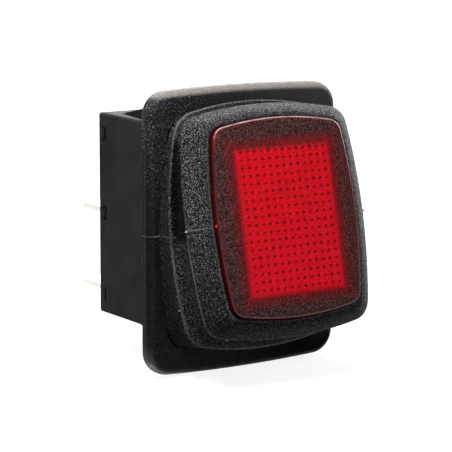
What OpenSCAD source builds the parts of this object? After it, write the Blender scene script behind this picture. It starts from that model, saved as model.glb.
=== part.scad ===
// Sealed rocker switch for a panel cut-out: an illuminated rocker under a
// soft rubber boot, two poles, four blade terminals.
// +X is to the right of the panel's front, +Y goes back through the panel and
// +Z is up along the rocker. Y = 0 is the seat against the panel.
// The rocker is drawn with its upper end pressed in.

/* [Housing] */
// Width of the housing that passes through the panel
housing_w = 22; // [20.5:0.1:26]
// Height of the housing that passes through the panel
housing_h = 30; // [28.5:0.1:34]
// Depth from the panel seat to the rear wall's outer face
housing_d = 20.2; // [19.5:0.1:26]
// Thickness of the two side walls
side_wall = 1.3; // [1:0.05:1.5]
// Thickness of the top and bottom end walls
end_wall = 1.6; // [1.5:0.05:1.9]
// Thickness of the rear wall
rear_wall = 1.6; // [1.2:0.05:2]
// Thickness of the partition between the two poles
partition_t = 1.2; // [0.8:0.05:1.8]

/* [Snap latches] */
// Width of each latch tongue
latch_w = 16.8; // [12:0.1:17.5]
// Depth at which the tongue is rooted in the end wall
latch_root = 17.4; // [16:0.1:17.8]
// Depth of the tongue's highest point
latch_peak = 8.9; // [7:0.1:11]
// Height of the tongue's highest point over the end wall
latch_rise = 1.9; // [1:0.05:2.4]
// Thickness of the tongue
latch_t = 1; // [0.8:0.05:1.2]
// Depth of the recess below the tongue
latch_recess = 0.85; // [0.5:0.05:0.95]
// Space between the seat and the tongue's free end
panel_space = 2.9; // [1.5:0.1:4]

/* [Boot flange] */
// Width of the rubber flange
flange_w = 32.1; // [31:0.1:38]
// Height of the rubber flange
flange_h = 40.7; // [39.5:0.1:46]
// Thickness of the rubber flange
flange_t = 2.2; // [2.1:0.05:2.8]
// Corner radius of the rubber flange
flange_r = 3.5; // [3:0.1:6]
// Rounding of the flange's front edge
flange_edge = 1.2; // [0.4:0.05:1.2]
// Thickness of the sealing layer behind the bezel
gasket_t = 0.45; // [0.3:0.05:0.6]

/* [Bezel] */
// Width of the rigid frame inside the flange
bezel_w = 29.4; // [28.6:0.1:30]
// Height of the rigid frame inside the flange
bezel_h = 37.4; // [36.6:0.1:38]
// Thickness of the rigid frame
bezel_t = 1; // [0.8:0.05:1.1]
// Wall of the neck that plugs into the housing
neck_wall = 1.2; // [1:0.05:1.3]
// Length of the neck behind the seat
neck_len = 3.6; // [3:0.1:4.5]

/* [Rocker] */
// Depth of the pivot behind the seat
pivot_y = 0.5; // [0.3:0.05:0.8]
// Angle of the rocker to either side of the middle
tilt = 13; // [9:0.5:13.5]
// Radius of the two trunnions
trunnion_r = 1.5; // [1.2:0.05:1.6]
// Distance of the light box's floor in front of the pivot
box_floor = 5.8; // [5.7:0.05:6.2]
// Wall of the light box
box_wall = 1.2; // [0.8:0.05:1.3]
// Width of the lit window
window_w = 15.4; // [14:0.1:16.4]
// Height of the lit window
window_h = 20.4; // [18:0.1:21.4]
// Distance of the top plate's rear face in front of the pivot
plate_n = 9.7; // [9.6:0.05:10]
// Thickness of the rocker's top plate
plate_t = 1.2; // [1:0.05:1.4]
// Wall of the plunger tubes
tube_wall = 0.45; // [0.35:0.05:0.5]
// Height of the core
core_h = 9.2; // [8:0.1:10]
// Reach of the core behind the pivot
core_back = 2.4; // [2.2:0.05:2.8]

/* [Lens] */
// Width of the lens
lens_w = 23.3; // [22.5:0.1:24]
// Height of the lens
lens_h = 27.9; // [26.5:0.1:28.4]
// Distance of the lens's front face from the pivot
lens_n = 13.75; // [13.3:0.05:14.3]
// Thickness of the lens's front wall
lens_t = 1.6; // [1.2:0.05:1.8]
// Thickness of the lens's skirt
lens_skirt = 1.2; // [0.8:0.05:1.6]
// Corner radius of the lens
lens_r = 2.1; // [1.8:0.1:3.5]
// Radius of the lamp's resistor
resistor_r = 0.9; // [0.7:0.05:1]
// Length of the lamp's resistor
resistor_len = 4.8; // [4:0.1:6]
// Distance of the lamp's resistor from the middle
resistor_x = 5.2; // [4.6:0.1:5.6]

/* [Boot cap and bellows] */
// Width of the cap's rim
cap_w = 29.9; // [28.5:0.1:30.5]
// Height of the cap's rim
cap_h = 33.4; // [31.5:0.1:33.8]
// Corner radius of the cap's rim
cap_r = 3.1; // [2.6:0.1:5]
// Distance of the rim's edge in front of the pivot
cap_rim_n = 10.7; // [10.5:0.05:10.9]
// Distance of the cap's front lip in front of the pivot
cap_lip_n = 12.85; // [12.2:0.05:12.9]
// Width of the bellows collar
collar_w = 28.4; // [27.8:0.1:29]
// Height of the bellows collar
collar_h = 35.2; // [34.4:0.1:35.6]
// Thickness of the bellows wall
bellows_t = 0.8; // [0.6:0.05:0.9]

/* [Contacts and terminals] */
// Width of a blade terminal
blade_w = 6.3; // [5.8:0.1:6.3]
// Width of the shoulder at each side of a blade
blade_shoulder = 0.3; // [0.2:0.05:0.4]
// Thickness of a blade terminal
blade_t = 0.8; // [0.5:0.05:0.9]
// Length of a blade behind the housing
blade_len = 8; // [6.5:0.1:10]
// Distance between the centre and the end terminals
terminal_pitch = 11.8; // [11.2:0.1:12]
// Radius of the hole in a blade
blade_hole_r = 0.85; // [0.6:0.05:1]
// Thickness of the moving contact strip
strip_t = 0.8; // [0.6:0.05:0.9]
// Width of the moving contact strip
strip_w = 3.4; // [3:0.1:3.8]
// Angle of the moving contact to either side of the middle
strip_tilt = 5; // [4:0.25:5]
// Distance of the contact tips from the middle
tip_z = 8.8; // [8.4:0.1:9]
// Radius of the contact tips
tip_r = 1.3; // [1:0.05:1.4]
// Thickness of the moving contact's tip
tip_t = 0.6; // [0.4:0.05:0.7]
// Distance from the pivot to the plunger's tip
plunger_reach = 7.7; // [7.4:0.05:7.8]
// Radius of the plunger
plunger_r = 1.2; // [1:0.05:1.25]

/* [Clearances] */
// Clearance of the trunnions in their bearings
pivot_gap = 0.05; // [0.02:0.01:0.08]
// Clearance of the plungers in their tubes
plunger_gap = 0.05; // [0.02:0.01:0.08]
// Clearance between parts that are pushed together
fit_gap = 0.05; // [0.03:0.01:0.08]
// Clearance of the bezel's neck in the housing
neck_gap = 0.1; // [0.05:0.01:0.15]

/* [Hidden] */

$fn = 48;
eps = 0.01;

rubber = "#242424";
nylon = "#2e2e2e";
tinned = "#c9c9c4";
copper = "#c07a4a";
silver = "#e2e2df";
steel = "#9fa3a6";

// ---- derived sizes
cavity_w = housing_w - 2 * side_wall;
cavity_h = housing_h - 2 * end_wall;
cavity_back = housing_d - rear_wall;
// each pole stands as far out as its blade's shoulders let it
pole_x = (cavity_w - blade_w) / 2 - blade_shoulder - fit_gap;
neck_w = cavity_w - 2 * neck_gap;
neck_h = cavity_h - 2 * neck_gap;
bezel_back = -gasket_t - fit_gap;
bezel_front = bezel_back - bezel_t;
trunnion_end = neck_w / 2 - 0.15;
plate_top = plate_n + plate_t;
strip_front = pivot_y + plunger_reach + 0.02;
strip_ridge_r = strip_t / 2 + 0.5;
strip_axis = strip_front + strip_t + 0.18;
tube_r = plunger_r + plunger_gap + tube_wall;
core_w = 2 * (pole_x + tube_r);
tube_end = 5.2;
plunger_head = 1.2;
// the two contact tips meet here while the upper end of the rocker is in
tip_gap = 0.05;
tip_reach = strip_front + strip_t + tip_t - strip_axis;
tip_meet_y = strip_axis + tip_reach * cos(strip_tilt) + tip_z * sin(strip_tilt);
tip_meet_z = tip_reach * sin(strip_tilt) - tip_z * cos(strip_tilt);
anvil_y = tip_meet_y + tip_gap + tip_t + 0.15;
cradle_y = strip_axis + 0.25;
cradle_back = cradle_y + 2.6;
lamp_arm_x = 2.2;
lamp_spring_r = 1;

// ---- helpers

// Quarter of a pillow-shaped outline: half width hw and half height hh at the
// middles of the sides, bx and bz less at the corners, corner radius r.
function quarter(hw, hh, bx, bz, r, side = 5, corner = 7) =
    let (a0 = atan(2 * bx / (hh - r)),
         a1 = atan(2 * bz / (hw - r)),
         cx = hw - bx - r * cos(a0),
         cz = hh - bz - r * cos(a1),
         ze = cz + r * sin(a0),
         xe = cx + r * sin(a1))
    concat([for (i = [0 : side - 1]) let (t = i / side) [hw - bx * t * t, ze * t]],
           [for (i = [0 : corner]) let (a = a0 + (90 - a1 - a0) * i / corner)
               [cx + r * cos(a), cz + r * sin(a)]],
           [for (i = [side - 1 : -1 : 0]) let (t = i / side) [xe * t, hh - bz * t * t]]);

// Whole pillow-shaped outline, counter-clockwise.
function pillow(hw, hh, bx, bz, r) =
    let (q = quarter(hw, hh, bx, bz, r), n = len(q))
    concat([for (i = [0 : n - 1]) q[i]],
           [for (i = [n - 2 : -1 : 0]) [-q[i][0], q[i][1]]],
           [for (i = [1 : n - 1]) -q[i]],
           [for (i = [n - 2 : -1 : 1]) [q[i][0], -q[i][1]]]);

// A ring is an outline placed in space: it stands at depth y, turned by
// angle a about X, its middle lifted by z, and narrowed towards the top by k.
function ring(hw, hh, bx, bz, r, y, a = 0, z = 0, k = 0) =
    [for (p = pillow(hw, hh, bx, bz, r))
        let (x = p[0] * (1 - k * p[1] / hh))
        [x, y + p[1] * sin(a), z + p[1] * cos(a)]];

// The same in the rocker's own frame: n in front of the pivot.
function rocker_ring(hw, hh, bx, bz, r, n) =
    [for (p = pillow(hw, hh, bx, bz, r)) [p[0], -n, p[1]]];

// Skin round a closed section: each ring joins the next and the last the first.
module closed_loft(rings) {
    n = len(rings[0]);
    m = len(rings);
    polyhedron(
        points = [for (g = rings) for (p = g) p],
        faces = [for (j = [0 : m - 1]) for (i = [0 : n - 1])
            let (a = j * n + i, b = j * n + (i + 1) % n,
                 c = ((j + 1) % m) * n + (i + 1) % n, d = ((j + 1) % m) * n + i)
            each [[a, b, c], [a, c, d]]]);
}

// Puts a shape drawn about the pivot with -Y in front into the pressed position.
module rocked(a = tilt) {
    translate([0, pivot_y, 0]) rotate([-a, 0, 0]) children();
}

// Puts a shape drawn about the moving contact's axis into its closed position.
module strip_rocked() {
    translate([0, strip_axis, 0]) rotate([strip_tilt, 0, 0]) children();
}

// Upright prism along Y from y0 to y1 over a rectangle centred on X = 0, Z = 0.
module block(w, h, y0, y1) {
    translate([-w / 2, y0, -h / 2]) cube([w, y1 - y0, h]);
}

// Cylinder along Y from y0 to y1.
module rod_y(r, y0, y1) {
    translate([0, y0, 0]) rotate([-90, 0, 0]) cylinder(r = r, h = y1 - y0);
}

// Cylinder along X, centred, of length l.
module rod_x(r, l) {
    rotate([0, 90, 0]) cylinder(r = r, h = l, center = true);
}

// Plate with a pillow outline from y0 back to y1.
module plate(hw, hh, bx, bz, r, y0, y1) {
    translate([0, y1, 0]) rotate([90, 0, 0]) linear_extrude(y1 - y0) polygon(pillow(hw, hh, bx, bz, r));
}

// Rectangle with rounded corners, drawn from corner circles and two bars.
module round_rect(w, h, r) {
    union() {
        square([w - 2 * r, h], center = true);
        square([w, h - 2 * r], center = true);
        for (x = [-1, 1], z = [-1, 1])
            translate([x * (w / 2 - r), z * (h / 2 - r)]) circle(r);
    }
}

// Prism of a rounded rectangle along Y from y0 to y1.
module round_block(w, h, r, y0, y1) {
    translate([0, y1, 0]) rotate([90, 0, 0]) linear_extrude(y1 - y0) round_rect(w, h, r);
}

// Helical wire spring along -Y from the origin.
module coil(radius, wire, length, turns, steps = 12, sides = 6) {
    n = turns * steps;
    points = [for (i = [0 : n]) for (s = [0 : sides - 1])
        let (a = 360 * i / steps, b = 360 * s / sides, q = radius + wire * cos(b))
        [q * cos(a), -(wire + (length - 2 * wire) * i / n + wire * sin(b)), q * sin(a)]];
    polyhedron(points = points, faces = concat(
        [[for (s = [0 : sides - 1]) s]],
        [[for (s = [sides - 1 : -1 : 0]) n * sides + s]],
        [for (i = [0 : n - 1]) for (s = [0 : sides - 1])
            let (a = i * sides + s, b = i * sides + (s + 1) % sides)
            each [[a, a + sides, b + sides], [a, b + sides, b]]]));
}

// ---- housing

// Side view of a latch tongue, as (depth, height over the middle).
function latch_profile() =
    let (top = housing_h / 2, low = top - latch_recess)
    [[latch_root + 0.4, low - eps], [latch_root + 0.4, top],
     [latch_root, top], [latch_peak, top + latch_rise],
     [panel_space + 0.6, top + latch_rise - 0.55], [panel_space, top + latch_rise - 1.1],
     [panel_space, top + latch_rise - 1.1 - 0.35],
     [latch_peak, top + latch_rise - latch_t - 0.1], [latch_root - 2.2, low - eps]];

// Recess that a latch tongue lies over, narrowing towards its root.
module latch_recess_cut() {
    rim = 0.6;
    half = housing_w / 2 - rim;
    translate([0, 0, housing_h / 2 - latch_recess]) linear_extrude(latch_recess + 1)
        polygon([[-half, bezel_back - 1], [half, bezel_back - 1], [half, latch_peak - 0.9],
                 [latch_w / 2 + 0.6, latch_root - 0.5], [-latch_w / 2 - 0.6, latch_root - 0.5],
                 [-half, latch_peak - 0.9]]);
}

module latch() {
    translate([-latch_w / 2, 0, 0]) rotate([90, 0, 90]) linear_extrude(latch_w) polygon(latch_profile());
}

// Slot in the rear wall for one blade at height z.
module blade_slot(x, z) {
    translate([x, 0, z]) block(blade_w + 2 * fit_gap, blade_t + 2 * fit_gap, cavity_back - eps, housing_d + 1);
}

// Way that an end terminal is pushed in by, which cuts a groove in the end
// wall when the blade stands closer to it than its clearance.
module end_blade_guide(x) {
    translate([x, 0, -terminal_pitch])
        block(blade_w + 2 * blade_shoulder + 2 * fit_gap, blade_t + 2 * fit_gap, anvil_y - fit_gap, cavity_back);
}

module housing() {
    rib_w = strip_w + 0.6;
    color(nylon) {
        difference() {
            round_block(housing_w, housing_h, 0.4, bezel_back, housing_d);
            block(cavity_w, cavity_h, bezel_back - 1, cavity_back);
            for (s = [0, 1]) mirror([0, 0, s]) latch_recess_cut();
            for (x = [-1, 1], z = [0, -terminal_pitch]) blade_slot(x * pole_x, z);
            for (x = [-1, 1]) end_blade_guide(x * pole_x);
        }
        for (s = [0, 1]) mirror([0, 0, s]) latch();
        // partition between the poles
        block(partition_t, cavity_h + 2 * eps, cradle_back + 1.6, cavity_back + eps);
        // ribs that back the centre and end terminals
        for (x = [-1, 1]) translate([x * pole_x, 0, 0]) {
            for (z = [-1, 1]) translate([0, 0, z * (blade_t / 2 + fit_gap + 0.7)])
                block(rib_w, 1.4, cradle_back + fit_gap, cavity_back + eps);
            translate([0, 0, -tip_z + 0.4]) block(rib_w, 2.8, anvil_y + blade_t + fit_gap, cavity_back + eps);
        }
    }
}

// ---- bezel

module bezel() {
    color(nylon) difference() {
        union() {
            plate(bezel_w / 2, bezel_h / 2, 0.05, 0.4, 3, bezel_front, bezel_back);
            round_block(neck_w, neck_h, 0.6, bezel_back - eps, neck_len);
        }
        round_block(neck_w - 2 * neck_wall, neck_h - 2 * neck_wall, 0.6, bezel_front - 1, neck_len + 1);
        // bearings for the trunnions
        translate([0, pivot_y, 0]) rod_x(trunnion_r + pivot_gap, neck_w + 1);
    }
}

// ---- boot

// The flange is one skin: back face, rounded rim, front face, the pocket that
// holds the bezel and the sealing layer behind it.
module boot_flange() {
    w = flange_w / 2;
    h = flange_h / 2;
    bow = 0.5;
    pocket_front = bezel_front - fit_gap;
    function outer(inset, y) = ring(w - inset, h - inset, 0.05, bow, flange_r - inset, y);
    function opening(hw, hh, r, y) = ring(hw, hh, 0.05, 0.4, r, y);
    color(rubber) closed_loft(concat(
        [outer(0.25, 0), outer(0, -0.25)],
        [for (a = [0 : 22.5 : 90])
            outer(flange_edge * (1 - cos(a)), -flange_t + flange_edge * (1 - sin(a)))],
        [opening(collar_w / 2 - 1, collar_h / 2 - 0.8, 3, -flange_t),
         opening(collar_w / 2 - 1, collar_h / 2 - 0.8, 3, pocket_front),
         opening(bezel_w / 2 + fit_gap, bezel_h / 2 + fit_gap, 3, pocket_front),
         opening(bezel_w / 2 + fit_gap, bezel_h / 2 + fit_gap, 3, -gasket_t),
         opening(housing_w / 2 + 0.15, housing_h / 2 + 0.55, 1.2, -gasket_t),
         opening(housing_w / 2 + 0.15, housing_h / 2 + 0.55, 1.2, 0)]));
}

// The bellows: from the flange out to the collar, in to the fold, and out to
// the cap. It follows the rocker more and more towards the cap.
module boot_bellows() {
    w = collar_w / 2;
    h = collar_h / 2;
    top_n = cap_rim_n - 0.85;
    function fold(dw, dh, y, a, z, k = 0) = ring(w + dw, h + dh, 1.1, 1.1, 4, y, a, z, k);
    function on_cap(dw, dh) =
        [for (p = pillow(cap_w / 2 + dw, cap_h / 2 + dh, 1, 1.1, cap_r))
            [p[0], pivot_y - top_n * cos(tilt) + p[1] * sin(tilt), top_n * sin(tilt) + p[1] * cos(tilt)]];
    t = bellows_t;
    color(rubber) closed_loft([
        fold(-0.1, 0.25, -flange_t - fit_gap, 0, 0.1),
        fold(-0.35, -0.05, -3, 1.2, 0.3),
        fold(-0.15, -0.1, -3.9, 3.8, 0.6),
        fold(0, 0, -4.7, 5.5, 0.8),
        fold(-0.05, -0.05, -5.15, 6, 0.85),
        fold(-0.35, -0.35, -5.35, 6.5, 0.9),
        fold(-1.2, -1.5, -5.45, 7.5, 0.9, 0.03),
        fold(-1.45, -1.9, -6.2, 9.5, 1.1, 0.03),
        fold(-1.2, -1.9, -7.7, 11.7, 1.5, 0.015),
        on_cap(-1.3, -1.3),
        on_cap(-1.3 - t, -1.3 - t),
        fold(-1.2 - t, -1.9 - t, -7.7, 11.7, 1.5, 0.015),
        fold(-1.45 - t, -1.9 - t, -6.2, 9.5, 1.1, 0.03),
        fold(-1.2 - t, -1.5 - t, -4.75, 7.2, 0.9, 0.03),
        fold(-0.75 - t, -0.75 - t, -4.4, 5.5, 0.8),
        fold(-0.35 - t, -0.05 - t, -3.2, 1.6, 0.4),
        fold(-0.1 - t, 0.25 - t, -flange_t - fit_gap, 0, 0.1)]);
}

// The cap: a thick rubber ring round the lens, with a sharp rim and a
// gently domed wall up to the lip.
module boot_cap() {
    bore_w = lens_w / 2 + fit_gap;
    bore_h = lens_h / 2 + fit_gap;
    under_n = cap_rim_n - 0.8;
    lip_w = bore_w + 0.45;
    lip_h = bore_h + 0.45;
    shoulder_n = cap_rim_n + 0.22;
    function between(f, n) =
        rocker_ring(lip_w + (cap_w / 2 - lip_w) * f, lip_h + (cap_h / 2 - lip_h) * f, 0.9 + 0.1 * f,
                    0.9 + 0.2 * f, lens_r + 0.4 + (cap_r - lens_r - 0.4) * f, n);
    color(rubber) rocked() closed_loft(concat(
        [between(0.72, under_n), between(0.97, cap_rim_n - 0.3), between(1, cap_rim_n)],
        [for (i = [0 : 6])
            between(0.985 * (1 - i / 6), shoulder_n + (cap_lip_n - shoulder_n) * sin(90 * i / 6))],
        [rocker_ring(bore_w, bore_h, 0.87, 0.87, lens_r, cap_lip_n - 0.05),
         rocker_ring(bore_w, bore_h, 0.87, 0.87, lens_r, under_n)]));
}

// ---- rocker and light

module plunger_places() {
    for (x = [-1, 1]) translate([x * pole_x, 0, 0]) children();
}

module rocker() {
    box_w = window_w + 2 * box_wall;
    box_h = window_h + 2 * box_wall;
    color(nylon) rocked() difference() {
        union() {
            plate(lens_w / 2, lens_h / 2, 0.87, 0.87, lens_r, -plate_top, -plate_n);
            round_block(box_w, box_h, 1, -plate_n - eps, -box_floor);
            round_block(core_w, core_h, 0.8, -box_floor - eps, core_back);
            rod_x(trunnion_r, 2 * trunnion_end);
            rod_x(trunnion_r + 0.8, neck_w - 2 * neck_wall - 0.4);
            plunger_places() rod_y(tube_r, core_back - eps, tube_end);
        }
        round_block(window_w, window_h, 0.5, -plate_top - 1, -box_floor - box_wall);
        plunger_places() rod_y(plunger_r + plunger_gap, -2.6, tube_end + 1);
        // holes for the lamp's leads
        for (x = [-1, 1]) translate([x * lamp_arm_x, 0, 0]) rod_y(0.45, -plate_n, core_back + 1);
    }
}

// The lens is a shallow cup over the light box, with a rounded front edge.
module lens() {
    w = lens_w / 2;
    h = lens_h / 2;
    edge = 0.35;
    in_w = w - lens_skirt;
    in_h = h - lens_skirt;
    function outer(inset, n) = rocker_ring(w - inset, h - inset, 0.87, 0.87, lens_r - inset, n);
    function inner(n) = rocker_ring(in_w, in_h, 0.8, 0.8, lens_r - 1, n);
    rings = concat(
        [inner(lens_n - lens_t), inner(plate_top + fit_gap), outer(0, plate_top + fit_gap)],
        [for (a = [0 : 22.5 : 90]) outer(edge * (1 - cos(a)), lens_n - edge * (1 - sin(a)))]);
    n = len(rings[0]);
    m = len(rings);
    color("#c8102e") rocked() polyhedron(
        points = [for (g = rings) for (p = g) p],
        faces = concat(
            [[for (i = [n - 1 : -1 : 0]) i]],
            [[for (i = [0 : n - 1]) (m - 1) * n + i]],
            [for (j = [0 : m - 2]) for (i = [0 : n - 1])
                let (a = j * n + i, b = j * n + (i + 1) % n)
                each [[a, b, b + n], [a, b + n, a + n]]]));
}

// Small glass lamp with two leads that end in contact discs.
module lamp() {
    bulb_r = 1.9;
    bulb_n = box_floor + box_wall + bulb_r + 0.3;
    color("#f2b8a0") rocked() {
        translate([0, -bulb_n, 0]) {
            translate([0, 0, -3]) cylinder(r = bulb_r, h = 6);
            translate([0, 0, 3]) sphere(bulb_r);
        }
        for (x = [-1, 1]) {
            translate([x * lamp_arm_x, 0, 0]) rod_y(0.3, -bulb_n - 0.3, core_back + fit_gap + 0.3);
            translate([x * lamp_arm_x, 0, 0]) rod_y(lamp_spring_r, core_back + fit_gap, core_back + fit_gap + 0.3);
            translate([x * lamp_arm_x / 2, -bulb_n, 0]) rod_x(0.3, lamp_arm_x + 0.6);
        }
    }
}

// Series resistor lying beside the lamp in the light box.
module lamp_resistor() {
    r = resistor_r;
    lead = 1.6;
    color("#d8c49a") rocked() translate([-resistor_x, -(box_floor + box_wall + r + fit_gap), 0]) {
        cylinder(r = r, h = resistor_len, center = true);
        for (z = [-1, 1]) translate([0, 0, z * (resistor_len + lead) / 2]) cylinder(r = 0.25, h = lead + 0.2, center = true);
    }
}

module lamp_spring(x) {
    seat = cradle_back - blade_t - 0.02;
    reach = pivot_y + (core_back + fit_gap + 0.3) + 0.35;
    color(steel) translate([x, seat, 0]) coil(lamp_spring_r - 0.2, 0.2, seat - reach, 7);
}

module plunger(x) {
    centre = plunger_reach - plunger_r;
    color("#b9a58c") rocked() translate([x, 0, 0]) union() {
        sphere_at(plunger_r, centre);
        rod_y(plunger_r, plunger_head, centre);
    }
}

// Ball nose of a plunger, c behind the pivot.
module sphere_at(r, c) {
    translate([0, c, 0]) sphere(r);
}

module plunger_spring(x) {
    color(steel) rocked() translate([x, plunger_head - 0.02, 0]) coil(0.85, 0.2, plunger_head + 2.6 - 0.04, 5);
}

// ---- contacts

// Copper strip that rocks on a half-round ridge.
module moving_contact(x) {
    front = strip_front - strip_axis;
    arm_up = 6;
    arm_down = tip_z + tip_r + 0.3;
    color(copper) translate([x, 0, 0]) strip_rocked() difference() {
        union() {
            translate([-strip_w / 2, front, -arm_down]) cube([strip_w, strip_t, arm_up + arm_down]);
            rod_x(strip_ridge_r, strip_w);
        }
        translate([-strip_w, -3 + front, -2]) cube([2 * strip_w, 3, 4]);
        translate([0, 0, -tip_z]) rod_y(0.6 + 0.02, front - 1, front + strip_t + 1);
    }
}

// Silver rivet in the strip's lower arm.
module moving_tip(x) {
    front = strip_front - strip_axis;
    color(silver) translate([x, 0, 0]) strip_rocked() translate([0, 0, -tip_z]) {
        rod_y(tip_r, front + strip_t, front + strip_t + tip_t);
        rod_y(0.6, front - 0.3, front + strip_t + eps);
        rod_y(0.9, front - 0.35, front);
    }
}

// Silver rivet with a domed head in the end terminal's anvil.
module fixed_tip(x) {
    head = anvil_y - tip_meet_y - tip_gap;
    dome = 3;
    color(silver) translate([x, 0, tip_meet_z]) {
        intersection() {
            rod_y(tip_r, anvil_y - head - 1, anvil_y);
            translate([0, anvil_y - head + dome, 0]) sphere(dome);
        }
        rod_y(0.6, anvil_y - eps, anvil_y + blade_t + fit_gap);
    }
}

// Blade with chamfered tip and hole, from y0 back to its tip.
module blade(y0) {
    tip = housing_d + blade_len;
    c = 1;
    difference() {
        translate([0, 0, -blade_t / 2]) linear_extrude(blade_t)
            polygon([[-blade_w / 2, y0], [blade_w / 2, y0], [blade_w / 2, tip - c],
                     [blade_w / 2 - c, tip], [-blade_w / 2 + c, tip], [-blade_w / 2, tip - c]]);
        translate([0, tip - 3.4, -1]) cylinder(r = blade_hole_r, h = 2);
    }
    // shoulders that seat on the rear wall
    block(blade_w + 2 * blade_shoulder, blade_t, cavity_back - 1.2, cavity_back);
}

// Centre terminal: blade, cradle for the moving contact and arm for the lamp spring.
module centre_terminal(side) {
    arm = pole_x - lamp_arm_x + lamp_spring_r;
    color(tinned) mirror([side < 0 ? 1 : 0, 0, 0]) translate([pole_x, 0, 0]) difference() {
        union() {
            blade(cradle_back - blade_t);
            block(strip_w, 3, cradle_y, cradle_back);
            translate([-arm, cradle_back - blade_t, -lamp_spring_r]) cube([arm, blade_t, 2 * lamp_spring_r]);
        }
        translate([0, strip_axis, 0]) rod_x(strip_ridge_r + 0.05, strip_w + 1);
    }
}

// End terminal: blade bent into the anvil that carries the fixed contact.
module end_terminal(x) {
    color(tinned) translate([x, 0, 0]) difference() {
        union() {
            translate([0, 0, -terminal_pitch]) blade(anvil_y);
            translate([-strip_w / 2, anvil_y, -terminal_pitch - blade_t / 2])
                cube([strip_w, blade_t, terminal_pitch + blade_t / 2 + tip_meet_z + tip_r + 0.3]);
        }
        translate([0, 0, tip_meet_z]) rod_y(0.6 + 0.02, anvil_y - 1, anvil_y + blade_t + 1);
    }
}

housing();
bezel();
boot_flange();
boot_bellows();
boot_cap();
rocker();
lens();
lamp();
lamp_resistor();
lamp_spring(-lamp_arm_x);  // lamp_spring_left
lamp_spring(lamp_arm_x);  // lamp_spring_right
plunger(-pole_x);  // plunger_left
plunger(pole_x);  // plunger_right
plunger_spring(-pole_x);  // plunger_spring_left
plunger_spring(pole_x);  // plunger_spring_right
moving_contact(-pole_x);  // moving_contact_left
moving_contact(pole_x);  // moving_contact_right
moving_tip(-pole_x);  // moving_tip_left
moving_tip(pole_x);  // moving_tip_right
centre_terminal(-1);  // centre_terminal_left
centre_terminal(1);  // centre_terminal_right
end_terminal(-pole_x);  // end_terminal_left
end_terminal(pole_x);  // end_terminal_right
fixed_tip(-pole_x);  // fixed_tip_left
fixed_tip(pole_x);  // fixed_tip_right
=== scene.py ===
"""Sealed rocker switch for a panel cut-out: nylon housing with snap latches and
blade terminals, an illuminated rocker, and a soft rubber boot over the front."""

import math

import bmesh
import bpy
from mathutils import Matrix, Vector
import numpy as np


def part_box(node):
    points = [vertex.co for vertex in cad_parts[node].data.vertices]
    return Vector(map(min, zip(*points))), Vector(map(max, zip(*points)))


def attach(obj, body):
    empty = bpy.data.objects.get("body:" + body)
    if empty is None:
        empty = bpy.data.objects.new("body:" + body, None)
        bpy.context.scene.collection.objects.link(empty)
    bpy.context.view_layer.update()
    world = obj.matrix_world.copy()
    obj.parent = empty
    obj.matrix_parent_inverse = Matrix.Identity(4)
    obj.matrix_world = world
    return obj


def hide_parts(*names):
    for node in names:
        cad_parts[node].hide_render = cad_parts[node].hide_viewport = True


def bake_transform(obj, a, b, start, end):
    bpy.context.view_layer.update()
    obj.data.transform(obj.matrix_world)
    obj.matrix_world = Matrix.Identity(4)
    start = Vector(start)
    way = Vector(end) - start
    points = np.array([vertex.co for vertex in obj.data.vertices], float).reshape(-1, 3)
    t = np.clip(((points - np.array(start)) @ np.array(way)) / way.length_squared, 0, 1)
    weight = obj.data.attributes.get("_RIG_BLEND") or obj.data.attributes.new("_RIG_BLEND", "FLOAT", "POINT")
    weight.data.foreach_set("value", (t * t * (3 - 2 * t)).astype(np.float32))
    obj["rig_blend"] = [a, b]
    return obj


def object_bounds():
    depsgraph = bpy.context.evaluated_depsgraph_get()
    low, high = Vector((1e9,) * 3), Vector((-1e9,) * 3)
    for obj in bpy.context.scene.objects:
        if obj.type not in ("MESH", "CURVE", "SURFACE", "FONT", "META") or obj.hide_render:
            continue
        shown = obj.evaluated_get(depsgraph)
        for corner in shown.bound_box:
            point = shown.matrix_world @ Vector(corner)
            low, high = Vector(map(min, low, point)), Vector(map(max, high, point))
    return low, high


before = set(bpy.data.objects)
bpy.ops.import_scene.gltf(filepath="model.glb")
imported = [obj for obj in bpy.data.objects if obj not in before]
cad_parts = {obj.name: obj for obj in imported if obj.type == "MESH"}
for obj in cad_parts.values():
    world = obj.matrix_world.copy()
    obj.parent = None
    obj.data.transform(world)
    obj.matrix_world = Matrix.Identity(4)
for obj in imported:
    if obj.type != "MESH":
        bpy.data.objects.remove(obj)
cad_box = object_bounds()

# ---- Housing -----------------------------------------------------------------
# The black nylon shell behind the panel, injection moulded in one piece with
# its two snap tongues. Its edges are broken only slightly by the mould, and
# plain terminal numbers stand on its left wall beside the blades.

mm = 0.001


def new_piece(name, mesh, material, body):
    """A finished piece: its mesh in place, one material, on its body."""
    piece = bpy.data.objects.new(name, mesh)
    bpy.context.scene.collection.objects.link(piece)
    mesh.materials.clear()
    mesh.materials.append(material)
    if body:
        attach(piece, body)
    return piece


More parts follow.
